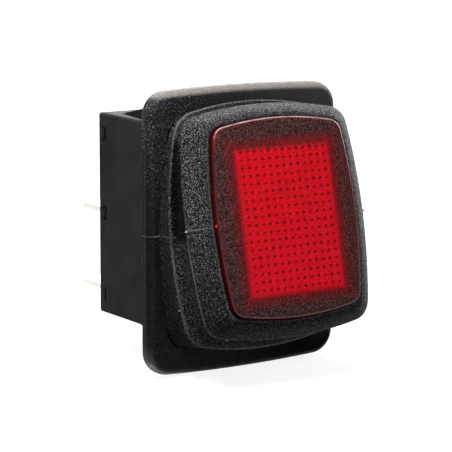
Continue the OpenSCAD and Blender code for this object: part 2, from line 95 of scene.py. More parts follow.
def eased_copy(node, name, width):
    """A node's shape with its loose triangles merged and its edges broken."""
    merge = 0.002 * mm
    flat_within, sharp_from = math.radians(0.6), math.radians(35)
    shape = bmesh.new()
    shape.from_mesh(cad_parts[node].data)
    bmesh.ops.remove_doubles(shape, verts=shape.verts, dist=merge)
    bmesh.ops.dissolve_limit(shape, angle_limit=flat_within,
                             verts=shape.verts, edges=shape.edges)
    mesh = bpy.data.meshes.new(name)
    shape.to_mesh(mesh)
    shape.free()
    holder = bpy.data.objects.new(name + "_raw", mesh)
    bpy.context.scene.collection.objects.link(holder)
    edge = holder.modifiers.new("edge", "BEVEL")
    edge.width = width * mm
    edge.segments = 2
    edge.limit_method = "ANGLE"
    edge.angle_limit = sharp_from
    edge.use_clamp_overlap = True
    # the flats stay flat up to the broken edges
    flat = bpy.data.objects.new(name + "_flat", settled(holder, name))
    bpy.context.scene.collection.objects.link(flat)
    evened = flat.modifiers.new("evened", "WEIGHTED_NORMAL")
    evened.keep_sharp = True
    evened.weight = 100
    return settled(flat, name, None)


def settled(holder, name, angle=38):
    """The plain mesh that a holder's modifiers give; the holder goes."""
    graph = bpy.context.evaluated_depsgraph_get()
    mesh = bpy.data.meshes.new_from_object(holder.evaluated_get(graph))
    mesh.name = name
    bpy.data.objects.remove(holder)
    if angle:
        shade(mesh, angle)
    return mesh


def shade(mesh, angle):
    """Smooth shading over everything but edges sharper than the angle."""
    mesh.shade_smooth()
    shape = bmesh.new()
    shape.from_mesh(mesh)
    limit = math.radians(angle)
    for edge in shape.edges:
        edge.smooth = not (len(edge.link_faces) == 2 and edge.calc_face_angle(0) > limit)
    shape.to_mesh(mesh)
    shape.free()


class Finish:
    """A node material under construction: its nodes and its main shader."""

    def __init__(self, name, colour, roughness, specular=0.5, metallic=0.0):
        self.material = bpy.data.materials.new(name)
        self.material.use_nodes = True
        self.tree = self.material.node_tree
        self.skin = self.tree.nodes["Principled BSDF"]
        self.skin.inputs["Base Color"].default_value = (*colour, 1)
        self.skin.inputs["Roughness"].default_value = roughness
        self.skin.inputs["Specular IOR Level"].default_value = specular
        self.skin.inputs["Metallic"].default_value = metallic
        self.place = self.node("ShaderNodeTexCoord").outputs["Object"]

    def node(self, kind, **inputs):
        """A new node; each input named is set, or joined where it is a socket."""
        made = self.tree.nodes.new(kind)
        for key, value in inputs.items():
            self.feed(value, made.inputs[key.replace("_", " ")])
        return made

    def feed(self, value, into):
        """Joins a socket to an input, or sets the input to a plain value."""
        if isinstance(value, bpy.types.NodeSocket):
            self.tree.links.new(value, into)
        else:
            into.default_value = value

    def join(self, out, name):
        """Joins a socket to the main shader's named input."""
        self.tree.links.new(out, self.skin.inputs[name])

    def noise(self, scale, detail, place=None, rough=0.5):
        """Soft lumps, scale of them to the metre."""
        return self.node("ShaderNodeTexNoise", Vector=place or self.place, Scale=scale,
                         Detail=detail, Roughness=rough).outputs["Fac"]

    def cells(self, scale):
        """Round pits, scale of them to the metre."""
        return self.node("ShaderNodeTexVoronoi", Vector=self.place,
                         Scale=scale).outputs["Distance"]

    def attribute(self, name):
        """A value that the mesh carries at its points."""
        made = self.node("ShaderNodeAttribute")
        made.attribute_name = name
        return made.outputs["Fac"]

    def axes(self, vector):
        """The three parts of a vector."""
        return self.node("ShaderNodeSeparateXYZ", Vector=vector).outputs

    def span(self, value, low, high, to_low=0.0, to_high=1.0, smooth=False):
        """The value's way from low to high, turned into to_low to to_high."""
        made = self.node("ShaderNodeMapRange", Value=value, From_Min=low, From_Max=high,
                         To_Min=to_low, To_Max=to_high)
        made.interpolation_type = "SMOOTHSTEP" if smooth else "LINEAR"
        return made.outputs["Result"]

    def away(self, place):
        """Distance from a place given in millimetres."""
        made = self.node("ShaderNodeVectorMath")
        made.operation = "DISTANCE"
        self.feed(self.place, made.inputs[0])
        self.feed(Vector(place) * mm, made.inputs[1])
        return made.outputs["Value"]

    def calc(self, kind, a, b=0.0):
        """One sum of the kind that Math nodes do."""
        made = self.tree.nodes.new("ShaderNodeMath")
        made.operation = kind
        self.feed(a, made.inputs[0])
        self.feed(b, made.inputs[1])
        return made.outputs[0]

    def times(self, a, b):
        """The product of two values."""
        return self.calc("MULTIPLY", a, b)

    def mix(self, part, a, b):
        """Colour a turned into colour b as the part goes from 0 to 1."""
        made = self.tree.nodes.new("ShaderNodeMix")
        made.data_type = "RGBA"
        self.feed(part, made.inputs[0])
        for value, socket in ((a, made.inputs[6]), (b, made.inputs[7])):
            self.feed((*value, 1) if isinstance(value, tuple) else value, socket)
        return made.outputs[2]

    def relief(self, height, depth, strength=1.0):
        """Raises the skin by the height, depth in metres."""
        made = self.node("ShaderNodeBump", Height=height, Strength=strength, Distance=depth)
        self.join(made.outputs[0], "Normal")


def moulded_nylon(name, colour, roughness=0.5, specular=0.01):
    """Glass-filled nylon: matte, faintly mottled, with a fine sparked skin."""
    nylon = Finish(name, colour, roughness, specular)
    cloud = nylon.noise(190, 3)
    dark = tuple(c * 0.8 for c in colour)
    pale = tuple(c * 1.25 for c in colour)
    nylon.join(nylon.mix(nylon.span(cloud, 0.3, 0.7), dark, pale), "Base Color")
    nylon.join(nylon.span(nylon.noise(420, 2), 0.3, 0.7, roughness - 0.06, roughness + 0.08),
               "Roughness")
    nylon.relief(nylon.noise(5200, 2), 0.012 * mm, 0.5)
    return nylon.material


housing_nylon = moulded_nylon("housing_nylon", (0.0205, 0.0205, 0.0202))
housing = new_piece("housing_shell", eased_copy("housing", "housing_shell", 0.14),
                    housing_nylon, "frame")
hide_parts("housing")

figure_size = 2.9
figure_rise = 0.07


def raised_number(text, place):
    """A plain moulded figure lying on the left wall, read from the left."""
    curve = bpy.data.curves.new("figure", "FONT")
    curve.body = text
    curve.size = figure_size * mm
    curve.extrude = figure_rise * mm / 2
    curve.bevel_depth = 0.02 * mm
    curve.align_x = "CENTER"
    curve.align_y = "CENTER"
    curve.resolution_u = 4
    holder = bpy.data.objects.new("figure", curve)
    bpy.context.scene.collection.objects.link(holder)
    mesh = settled(holder, "figure", None)
    bpy.data.curves.remove(curve)
    # right-hand reading direction is -Y, upright is +Z, raised towards -X
    turn = Matrix(((0, 0, -1), (-1, 0, 0), (0, 1, 0))).to_4x4()
    mesh.transform(Matrix.Translation(Vector(place) * mm) @ turn)
    return mesh


def joined(name, meshes):
    """Several meshes as one."""
    shape = bmesh.new()
    for mesh in meshes:
        shape.from_mesh(mesh)
        bpy.data.meshes.remove(mesh)
    bmesh.ops.remove_doubles(shape, verts=shape.verts, dist=0.0005 * mm)
    mesh = bpy.data.meshes.new(name)
    shape.to_mesh(mesh)
    shape.free()
    return mesh


left_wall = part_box("housing")[0].x / mm
rear_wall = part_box("housing")[1].y / mm
figure_sunk = 0.02
figure_from_rear = 1.5
blade_rows = {"3": 11.9, "2": 0.1, "1": -12.2}
figure_nylon = moulded_nylon("figure_nylon", (0.0015, 0.0015, 0.0015))
figures = joined("terminal_figures",
                 [raised_number(text, (left_wall - figure_sunk, rear_wall - figure_from_rear, z))
                  for text, z in blade_rows.items()])
new_piece("terminal_figures", figures, figure_nylon, "frame")

# ---- Terminals -----------------------------------------------------------------
# Four blades of tinned brass, stamped and bent, pushed through the rear wall
# from inside until their shoulders seat. The stamping leaves slightly rounded
# edges where the brass shows through the tin.


def tinned_metal(name, plating, core):
    """Plated strip: rolled streaks, soft shine, the core colour at its edges."""
    metal = Finish(name, plating, 0.3, 0.5, 1.0)
    along = metal.node("ShaderNodeMapping", Vector=metal.place, Scale=(1, 0.06, 1))
    streak = metal.noise(2600, 3, along.outputs[0])
    cloud = metal.noise(380, 2)
    edge_amount = metal.node("ShaderNodeNewGeometry").outputs["Pointiness"]
    dull = tuple(c * 0.86 for c in plating)
    plated = metal.mix(metal.span(cloud, 0.35, 0.65), dull, plating)
    metal.join(metal.mix(metal.span(edge_amount, 0.56, 0.66), plated, core), "Base Color")
    metal.join(metal.span(streak, 0.3, 0.7, 0.24, 0.4), "Roughness")
    metal.relief(streak, 0.006 * mm, 0.5)
    return metal.material


blade_root = 1.5
blade_extra = 1.0
tinned_brass = tinned_metal("tinned_brass", (0.7, 0.705, 0.69), (0.64, 0.61, 0.54))
for node in ("centre_terminal_left", "centre_terminal_right",
             "end_terminal_left", "end_terminal_right"):
    blade_mesh = eased_copy(node, node + "_blade", 0.09)
    for vertex in blade_mesh.vertices:
        # the blades of this switch stand out a little longer
        if vertex.co.y > (rear_wall + blade_root) * mm:
            vertex.co.y += blade_extra * mm
    blade = new_piece(node + "_blade", blade_mesh, tinned_brass, "frame")
    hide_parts(node)

# ---- Contacts ------------------------------------------------------------------
# Inside each pole a copper strip rocks on its cradle and closes a silver rivet
# on the rivet in the end terminal. The rivets are headed cold into the strip.

copper = tinned_metal("contact_copper", (0.72, 0.38, 0.22), (0.85, 0.52, 0.34))
silver = tinned_metal("contact_silver", (0.86, 0.85, 0.82), (0.93, 0.92, 0.9))
for side in ("left", "right"):
    for node, metal, slot in (("moving_contact_" + side, copper, "copper_strip"),
                              ("moving_tip_" + side, silver, "silver_tip"),
                              ("fixed_tip_" + side, silver, "silver_tip")):
        body = "frame" if node.startswith("fixed") else "contact_%s_body" % side
        part = new_piece(node + "_part", eased_copy(node, node + "_part", 0.06),
                         metal, body)
        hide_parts(node)

# ---- Bezel ---------------------------------------------------------------------
# The rigid nylon frame inside the rubber. Its neck plugs into the housing and
# holds the rocker's two trunnions; its plate clamps the flange to the panel.

frame_nylon = moulded_nylon("frame_nylon", (0.017, 0.017, 0.0165))
bezel = new_piece("bezel_frame", eased_copy("bezel", "bezel_frame", 0.12),
                  frame_nylon, "frame")
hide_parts("bezel")

# ---- Rubber flange -------------------------------------------------------------
# The boot's flange wraps the bezel and seals it to the panel. It is black
# rubber from a spark-eroded mould, so the whole skin carries a sharp grain,
# with a fine raised line where the two halves of the mould met.

# the rubber meshes carry painted light and shade at their points: up to 1 a painted highlight
# pales the skin, torn flash is paler still, and below 0 painted shade keeps it black, down to -1
fully_torn = 1.6


def moulded_rubber(name, hollow, tip, low, high, bite, top_light, glint_centre=None, pale_centre=None):
    """Black rubber with a sparked grain: dark hollows, and painted glints on its
    tips where the grain goes from low to high and on its facets, brightest round
    one place. The front faces are paler round another. A painted highlight pales
    its edges, and painted light from above pales the faces that look up."""
    rubber = Finish(name, hollow, 0.42, 0.06)
    grain = rubber.noise(6900, 1, rough=0.6)
    height = rubber.calc("ADD", grain, rubber.times(rubber.cells(6400), 0.5))
    bloom = rubber.noise(150, 3)
    body = rubber.mix(rubber.span(bloom, 0.35, 0.7), hollow, tuple(2 * c for c in hollow))
    edge_amount = rubber.attribute("painted_light_and_flash")
    # below 0 the value is painted shade, which keeps the skin black and takes its glints away
    lit_grain_share = rubber.span(edge_amount, -1, 0)
    rubber.join(rubber.times(lit_grain_share, rubber.span(grain, 0.45, 0.66, 0.035, 0.1)),
                "Specular IOR Level")
    facing = rubber.axes(rubber.node("ShaderNodeNewGeometry").outputs["Normal"])
    if glint_centre:
        # the painted glints are brightest round one place and fade away from it
        glint_falloff = rubber.span(rubber.away(glint_centre), 12.5 * mm, 3 * mm, 0.18, 1.0, smooth=True)
        lit_grain_share = rubber.times(lit_grain_share, glint_falloff)
        # the faces that look to the front are paler round another place
        paled_front = rubber.times(rubber.span(facing["Y"], -0.2, -0.8),
                              rubber.span(rubber.away(pale_centre), 34 * mm, 8 * mm, smooth=True))
        body = rubber.mix(paled_front, body, (0.034, 0.033, 0.031))
    # the pale tips and the facets below are painted glints on the grain
    tips = rubber.calc("POWER", rubber.span(grain, low, high), 1.7)
    grained = rubber.mix(rubber.times(tips, lit_grain_share), body, tip)
    facets = rubber.span(rubber.noise(7400, 0), 0.73, 0.8)
    grained = rubber.mix(rubber.times(facets, lit_grain_share), grained, (0.26, 0.27, 0.29))
    # painted light from above pales the faces that look up
    up = rubber.calc("SUBTRACT", facing["Z"],
                     rubber.times(rubber.calc("ABSOLUTE", facing["X"]), 0.7))
    painted_top_light = rubber.times(rubber.span(up, 0.08, 0.5, smooth=True),
                                rubber.span(grain, 0.35, 0.6, 0.45 * top_light, top_light))
    grained = rubber.mix(painted_top_light, grained, (0.28, 0.256, 0.234))
    # a painted highlight pales the edges, in patches
    painted_edge_highlight = rubber.times(rubber.calc("MAXIMUM", edge_amount, 0.0),
                          rubber.span(bloom, 0.3, 0.6, 0.5, 1.0))
    grained = rubber.mix(painted_edge_highlight, grained, (0.12, 0.122, 0.118))
    torn = rubber.span(edge_amount, 1.2, fully_torn)
    rubber.join(rubber.mix(torn, grained, (0.36, 0.36, 0.34)), "Base Color")
    rubber.join(rubber.span(grain, 0.45, 0.66, 0.55, 0.35), "Roughness")
    rubber.relief(height, bite * mm)
    return rubber.material


def quarter_outline(half_w, half_h, bow_x, bow_z, corner):
    """A quarter of the pillow-shaped outline, from the side's middle to the end's
    middle. The first few points are close together, for the mould line."""
    side_steps = corner_steps = 14
    close = [0.0, 0.05, 0.1, 0.16, 0.3, 0.55]
    lean = math.atan(2 * bow_x / (half_h - corner))
    tip = math.atan(2 * bow_z / (half_w - corner))
    cx = half_w - bow_x - corner * math.cos(lean)
    cz = half_h - bow_z - corner * math.cos(tip)
    side_end = cz + corner * math.sin(lean)
    top_end = cx + corner * math.sin(tip)
    steps = ([z / side_end for z in close]
             + [0.08 + 0.92 * i / side_steps for i in range(side_steps)])
    points = [(half_w - bow_x * t * t, side_end * t) for t in steps]
    for i in range(corner_steps + 1):
        a = lean + (math.pi / 2 - tip - lean) * i / corner_steps
        points.append((cx + corner * math.cos(a), cz + corner * math.sin(a)))
    points += [(top_end * i / side_steps, half_h - bow_z * (i / side_steps) ** 2)
               for i in range(side_steps - 1, -1, -1)]
    return points


def pillow_outline(half_w, half_h, bow_x, bow_z, corner):
    """The whole outline, round from the right side's middle over the top."""
    q = quarter_outline(half_w, half_h, bow_x, bow_z, corner)
    n = len(q)
    return (q + [(-q[i][0], q[i][1]) for i in range(n - 2, -1, -1)]
            + [(-x, -z) for x, z in q[1:]]
            + [(q[i][0], -q[i][1]) for i in range(n - 2, 0, -1)])


def panel_ring(half_w, half_h, bow_x, bow_z, corner, y, lean=0.0, lift=0.0, narrow=0.0):
    """An outline standing at depth y, leaned about X and lifted. Its close points
    stay near the height of the mould line."""
    near, level = 4, 0.8
    s, c = math.sin(math.radians(lean)), math.cos(math.radians(lean))
    outline = [(x, z - level * lift * max(0, 1 - abs(z) / near))
               for x, z in pillow_outline(half_w, half_h, bow_x, bow_z, corner)]
    return [Vector((x * (1 - narrow * z / half_h), y + z * s, lift + z * c)) * mm
            for x, z in outline]


def skin_mesh(name, rings, closed=True, smooth=40, ring_paint=None):
    """A skin through a stack of rings, closed on itself or capped at both ends.
    Its last argument gives the painted highlight on the edge at a ring, by the ring's number."""
    shape = bmesh.new()
    edge_paint = shape.verts.layers.float.new("painted_light_and_flash")
    rows = [[shape.verts.new(p) for p in ring] for ring in rings]
    for index, amount in (ring_paint or {}).items():
        for vertex in rows[index]:
            vertex[edge_paint] = amount
    n = len(rows[0])
    for low, high in zip(rows, rows[1:] + rows[:1] if closed else rows[1:]):
        for i in range(n):
            j = (i + 1) % n
            shape.faces.new((low[i], low[j], high[j], high[i]))
    if not closed:
        shape.faces.new(list(reversed(rows[0])))
        shape.faces.new(rows[-1])
    bmesh.ops.recalc_face_normals(shape, faces=shape.faces)
    mesh = bpy.data.meshes.new(name)
    shape.to_mesh(mesh)
    shape.free()
    shade(mesh, smooth)
    return mesh


def mould_line(mesh, height, middle, reach, pale, wanted):
    """Raises the fine flash line that runs where z is the middle's, to either side
    by the reach, over the points that are wanted, and pales its crest with a painted highlight."""
    normals = [v.normal.copy() for v in mesh.vertices]
    edge_paint = mesh.attributes["painted_light_and_flash"].data
    for vertex, normal in zip(mesh.vertices, normals):
        off = abs(vertex.co.z / mm - middle(vertex.co / mm))
        if off < reach and wanted(vertex.co / mm):
            crest = math.cos(off / reach * math.pi / 2)
            vertex.co += normal * height * mm * crest
            edge_paint[vertex.index].value = max(edge_paint[vertex.index].value, pale * crest)


def repaint_light_and_shade(mesh, rule):
    """Changes each point's painted light and shade, by its place and first value."""
    edge_paint = mesh.attributes["painted_light_and_flash"].data
    for vertex in mesh.vertices:
        edge_paint[vertex.index].value = rule(vertex.co / mm, edge_paint[vertex.index].value)


def share(value, start, end):
    """How far a value has gone from start to end, 0 to 1."""
    return min(1.0, max(0.0, (value - start) / (end - start)))


def sliver(mesh, place, size, pale=fully_torn):
    """A torn crumb of flash left standing on the skin nearest the place."""
    stand = 0.06
    root = min(mesh.vertices, key=lambda v: (v.co - place).length)
    place = root.co + root.normal * stand * mm
    shape = bmesh.new()
    shape.from_mesh(mesh)
    edge_paint = shape.verts.layers.float["painted_light_and_flash"]
    fit = Matrix.Translation(place) @ Matrix.Diagonal(Vector(size) * mm).to_4x4()
    crumb = bmesh.ops.create_icosphere(shape, subdivisions=1, radius=1, matrix=fit)
    for vertex in crumb["verts"]:
        vertex[edge_paint] = pale
    shape.to_mesh(mesh)
    shape.free()


flange_rubber = moulded_rubber("flange_rubber", hollow=(0.0034, 0.0036, 0.0034),
                               tip=(0.1, 0.103, 0.11), low=0.52, high=0.72, bite=0.09,
                               top_light=0.62, glint_centre=(-14, -3, 15), pale_centre=(20, -3, 20))
# widths and heights are measured from the middle of the switch to one side
flange_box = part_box("boot_flange")
flange_taller = 0.14
flange_w = flange_box[1].x / mm
flange_h = flange_box[1].z / mm + flange_taller
flange_t = -flange_box[0].y / mm
flange_r = 3.5
flange_bow_x, flange_bow_z = 0.05, 0.32
flange_edge = 1.2
gasket_t = 0.45
snug = 0.05
bezel_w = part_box("bezel")[1].x / mm
bezel_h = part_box("bezel")[1].z / mm
bezel_front = -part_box("bezel")[0].y / mm
housing_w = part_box("housing")[1].x / mm
neck_h = 15.55
collar_w, collar_h = 14.2, 17.6


def flange_ring(inset, y):
    """The flange's outline, smaller by the inset, at y in front of the panel."""
    return panel_ring(flange_w - inset, flange_h - inset, flange_bow_x, flange_bow_z,
                      flange_r - inset, -y)


def pocket_ring(half_w, half_h, corner, y):
    """An outline of the hollow inside the flange."""
    return panel_ring(half_w, half_h, flange_bow_x, 0.4, corner, -y)


# from the panel up the outside, over the rounded front edge, and back down
# inside round the collar's foot and the bezel to the housing
rings = [flange_ring(inset, y) for inset, y in
         ((0.25, 0), (0.06, 0.08), (0, 0.25), (0, 0.7), (0, flange_t - flange_edge - 0.15))]
rings += [flange_ring(flange_edge * (1 - math.cos(a)), flange_t - flange_edge * (1 - math.sin(a)))
          for a in (math.radians(d) for d in range(0, 91, 10))]
rings += [flange_ring(1.5, flange_t)]
rings += [pocket_ring(half_w, half_h, corner, y) for half_w, half_h, corner, y in
          ((collar_w + 0.1, collar_h + 0.2, 4, flange_t),
           (collar_w - 1, collar_h - 0.8, 3, flange_t),
           (collar_w - 1, collar_h - 0.8, 3, bezel_front + snug),
           (bezel_w + snug, bezel_h + snug, 3, bezel_front + snug),
           (bezel_w + snug, bezel_h + snug, 3, gasket_t),
           (housing_w + 0.15, neck_h, 1.2, gasket_t),
           (housing_w + 0.15, neck_h, 1.2, 0))]
# ring 5, where the front edge begins to round, carries a painted highlight
flange_mesh = skin_mesh("rubber_flange", rings, ring_paint={5: 0.28})


def flange_light_and_shade(p, edge_paint):
    """A painted highlight lies along the edge's middle, and painted bounce light pales
    one lower corner. The side faces and the front's lower edge are painted darker as shade."""
    edge = edge_paint * share(abs(p.z), 13, 9)
    corner = (2.2 * share(-p.z, 16, 19.5) * share(-p.x, 5, 13)
              * share(p.y, 0.02 - flange_t, 0.4 - flange_t) * share(-p.y, 0.1, 0.7))
    sides = (0.6 * share(abs(p.x), flange_w - 0.6, flange_w - 0.2)
             * share(abs(p.z), 15, 11) * (edge_paint == 0))
    under = 0.8 * share(-p.z, 16, 17.5) * share(p.x, -4, 8) * (p.y < 0.1 - flange_t)
    return edge + corner - sides - under


repaint_light_and_shade(flange_mesh, flange_light_and_shade)
mould_line(flange_mesh, 0.06, lambda p: 0.0, 0.1, 0.35,
           lambda p: p.y < -0.1 and abs(p.x) > 13.5)
flange = new_piece("rubber_flange", flange_mesh, flange_rubber, "frame")
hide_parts("boot_flange")

# ---- Bellows -------------------------------------------------------------------
# The thin wall that lets the rocker move: it stands up from the flange to a
# soft collar, turns in to a fold, and runs out to the cap. The collar stays
# with the flange and the fold gives way as the rocker tips.

boot_rubber = moulded_rubber("boot_rubber", hollow=(0.0013, 0.0014, 0.0013),
                             tip=(0.15, 0.155, 0.153), low=0.5, high=0.68, bite=0.2,
                             top_light=0.035)
pivot_y = 0.5
tilt = math.radians(13)
collar_bow_x, collar_bow_z, collar_r = 1.5, 1.1, 4
cap_w, cap_h, cap_r = 14.95, 16.45, 3.1
cap_bow_x, cap_bow_z = 1.0, 1.1
cap_drop = 0.25
cap_rim = 10.7
cap_foot = cap_rim - 0.8


def rocker_place(x, n, v):
    """A point of the rocker: x across, n in front of the pivot, v up its face."""
    return Vector((x, pivot_y - n * math.cos(tilt) + v * math.sin(tilt),
                   n * math.sin(tilt) + v * math.cos(tilt))) * mm


def rocker_ring(half_w, half_h, bow_x, bow_z, corner, n, drop=0.0):
    """An outline square to the rocker's axis, n in front of the pivot."""
    return [rocker_place(x, n, v - drop)
            for x, v in pillow_outline(half_w, half_h, bow_x, bow_z, corner)]


def fold_ring(dw, dh, y, lean, lift, narrow=0.0):
    """The collar's outline, wider and higher by dw and dh."""
    return panel_ring(collar_w + 0.3 + dw, collar_h + dh, collar_bow_x, collar_bow_z,
                      collar_r, y, lean, lift, narrow)


def eased_between(a, b, count):
    """Rings between two rings, evenly."""
    return [[p.lerp(q, i / count) for p, q in zip(a, b)] for i in range(count)]


def under_cap(inset):
    """Where the fold meets the cap's foot, inside its rim."""
    return rocker_ring(cap_w - inset, cap_h - inset, cap_bow_x, cap_bow_z, cap_r,
                       cap_foot, cap_drop)


wall = 0.8
fold_inset = 1.25
foot_y = 0.05 - flange_t
# up the wall from the flange, and over the collar's rounded edge
outer = [fold_ring(*profile) for profile in
         ((-0.1, 0.25, foot_y, 0, 0.1), (-0.3, 0.02, -2.6, 0.5, 0.2),
          (-0.35, -0.05, -3, 1.2, 0.3), (-0.15, -0.1, -3.9, 3.8, 0.6),
          (0, 0, -4.7, 5.5, 0.8), (0, 0, -5.0, 5.8, 0.83), (-0.05, -0.05, -5.15, 6, 0.85),
          (-0.17, -0.17, -5.29, 6.2, 0.87), (-0.35, -0.35, -5.35, 6.5, 0.9),
          (-0.6, -0.6, -5.38, 6.8, 0.9), (-1.2, -1.5, -5.45, 7.5, 0.9, 0.03))]
fold = [fold_ring(-1.45, -1.9, -6.2, 9.5, 1.1, 0.03),
        fold_ring(-1.2, -1.9, -7.7, 11.7, 1.5, 0.015),
        under_cap(fold_inset)]
for a, b in zip([outer[-1]] + fold, fold):
    outer += eased_between(a, b, 5)[1 if a is outer[-1] else 0:]
outer.append(fold[-1])
# and back down inside, one wall's thickness further in
inner = [under_cap(fold_inset + wall)]
inner += [fold_ring(dw - wall, dh - wall, *profile) for dw, dh, *profile in
          ((-1.2, -1.9, -7.7, 11.7, 1.5, 0.015), (-1.45, -1.9, -6.2, 9.5, 1.1, 0.03),
           (-1.2, -1.5, -4.75, 7.2, 0.9, 0.03), (-0.75, -0.75, -4.4, 5.5, 0.8),
           (-0.35, -0.05, -3.2, 1.6, 0.4), (-0.1, 0.25, foot_y, 0, 0.1))]
# rings 5 to 7, the collar's rounded edge, carry a painted highlight
bellows_mesh = skin_mesh("rubber_bellows", outer + inner, smooth=60,
                         ring_paint={5: 0.12, 6: 0.62, 7: 0.4})


def collar_light_and_shade(p, edge_paint):
    """A painted highlight lies on the collar's edge at the top and low down, and its
    sides are painted darker as shade. In front of it the upper fold, closed up, is painted blacker as shade."""
    slope = 0.118
    front = -p.y + slope * p.z
    top = share(p.z, 13, 15.5)
    # the closed-up fold in front of the collar is painted black as shade
    closed = share(front - 0.35 * top, 5.36, 5.48) * share(p.z, -1.5, 0.3)
    side = 0.5 * share(front, 5.1, 4.9) * (1 - top) + 0.3 * share(front, 5.4, 5.6)
    land = 0.4 * top * share(front, 5.1, 5.3) * share(front, 5.8, 5.5)
    return max(land, edge_paint * share(abs(p.z - 4.5), 3, 7)) * (1 - closed) - max(0.88 * closed, side)


repaint_light_and_shade(bellows_mesh, collar_light_and_shade)
mould_line(bellows_mesh, 0.07, lambda p: 0.02 + 0.16 * (-p.y - flange_t) / 2.5, 0.1, 0.45,
           lambda p: abs(p.x) > 13.4 and -6 < p.y < -2.2)
sliver(bellows_mesh, Vector((-13.5, -6.24, -10.3)) * mm, (0.18, 0.18, 0.1))
bellows = new_piece("rubber_bellows", bellows_mesh, boot_rubber, None)
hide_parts("boot_bellows")
# the fold gives way just in front of the collar's own plane
give_slope = 0.0963
across = Vector((0, -1, give_slope)).normalized()
fold_start = Vector((0, -4.78, 0)) * mm
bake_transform(bellows, "frame", "rocker_body", start=tuple(fold_start),
         end=tuple(fold_start + across * 2.5 * mm))

# ---- Cap -----------------------------------------------------------------------
# The thick rubber ring that grips the lens. It has a sharp rim that overhangs
# the bellows, a domed wall up to a thin lip, and the same mould line.

lens_w, lens_h, lens_r = 11.65, 13.95, 2.1
lens_bow = 0.87
lens_front = 13.75
lip_w, lip_h, lip_r, lip_bow = lens_w + 0.5, lens_h + 0.5, lens_r + 0.4, 0.9
cap_lip = 12.85
shoulder = cap_rim + 0.22


def cap_ring(out, n):
    """From the lip, where out is 0, to the rim, where it is 1, at distance n."""
    return rocker_ring(lip_w + (cap_w - lip_w) * out, lip_h + (cap_h - lip_h) * out,
                       lip_bow + (cap_bow_x - lip_bow) * out,
                       lip_bow + (cap_bow_z - lip_bow) * out,
                       lip_r + (cap_r - lip_r) * out, n, cap_drop * out)


# from under the rim, round it, over the domed wall and down along the lens
rings = [cap_ring(out, cap_rim + n) for out, n in
         ((0.7, -0.82), (0.9, -0.5), (0.97, -0.3), (0.995, -0.12), (1, 0), (0.997, 0.1))]
dome = 14
rings += [cap_ring(0.985 * (1 - i / dome),
                   shoulder + (cap_lip - shoulder) * math.sin(math.pi / 2 * i / dome))
          for i in range(dome + 1)]
rings += [rocker_ring(lens_w + gap, lens_h + gap, lens_bow, lens_bow, lens_r + ease, n)
          for gap, ease, n in ((0.3, 0.2, cap_lip - 0.01), (0.08, 0, cap_lip - 0.12),
                               (0.05, 0, cap_foot))]
# the rim's rings and the lip's edge carry a painted highlight
cap_mesh = skin_mesh("rubber_cap", rings, smooth=50,
                     ring_paint={3: 0.3, 4: 0.95, 5: 0.6, 20: 0.2, 21: 0.3})


def cap_seam(p):
    """Height of the cap's mould line: across the middle of the rocker."""
    return (-(p.y - pivot_y) * math.sin(tilt) - 0.45) / math.cos(tilt)


def cap_light_and_shade(p, edge_paint):
    """The rim's painted highlight is left off its upper half, and the lower walls
    are painted darker as shade."""
    at_rim = p.y > -11.6 + 0.23 * p.z
    rim_highlit = share(-p.z, -3, 1) if at_rim else 1
    return edge_paint * rim_highlit - (0 if edge_paint else 0.5 * share(-p.z, -4, 8))


repaint_light_and_shade(cap_mesh, cap_light_and_shade)
mould_line(cap_mesh, 0.1, cap_seam, 0.12, 0.8, lambda p: abs(p.x) > 11.9)
sliver(cap_mesh, rocker_place(-15.0, 10.85, -0.55), (0.3, 0.2, 0.09))
sliver(cap_mesh, rocker_place(15.0, 10.9, -0.2), (0.26, 0.18, 0.12), 1.0)
sliver(cap_mesh, rocker_place(-10.8, 10.75, -16.1), (0.16, 0.14, 0.13))
sliver(cap_mesh, rocker_place(-10.3, 10.72, -16.25), (0.2, 0.14, 0.08))
cap = new_piece("rubber_cap", cap_mesh, boot_rubber, "rocker_body")
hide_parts("boot_cap")

# ---- Rocker --------------------------------------------------------------------
# The nylon rocker under the boot: top plate, light box, trunnions and the two
# plunger tubes, in one moulding.

rocker = new_piece("rocker_core", eased_copy("rocker", "rocker_core", 0.1),
                   frame_nylon, "rocker_body")
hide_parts("rocker")

# ---- Light ---------------------------------------------------------------------
# A small glass lamp and its series resistor in the light box. The lamp's leads
# end in discs that meet two springs from the centre terminals.


def lamp_glass():
    """Thin glass, bright where the electrodes glow behind it."""
    glass = Finish("lamp_glass", (0.85, 0.42, 0.3), 0.12, 0.6)
    glow = glass.span(glass.noise(500, 2), 0.35, 0.7, 0.2, 0.9)
    glass.skin.inputs["Emission Color"].default_value = (1, 0.35, 0.16, 1)
    glass.join(glow, "Emission Strength")
    return glass.material


def resistor_coat():
    """Lacquered ceramic with plain rings of a darker lacquer."""
    coat = Finish("resistor_coat", (0.62, 0.5, 0.3), 0.32, 0.5)
    wave = coat.calc("SINE", coat.times(coat.axes(coat.place)["Z"], 4400))
    ring = coat.span(wave, 0.55, 0.75)
    coat.join(coat.mix(ring, (0.6, 0.47, 0.28), (0.16, 0.07, 0.04)), "Base Color")
    coat.relief(coat.noise(1500, 2), 0.02 * mm, 0.4)
    return coat.material


for node, material, slot in (("lamp", lamp_glass(), "lamp_glass"),
                             ("lamp_resistor", resistor_coat(), "resistor_body")):
    part = new_piece(node + "_part", eased_copy(node, node + "_part", 0.05),
                     material, "rocker_body")
    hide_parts(node)

# ---- Springs -------------------------------------------------------------------
# Four small springs of bright wire, wound to the same rule: two feed the lamp
# from the centre terminals and two press the plungers on the contact strips.


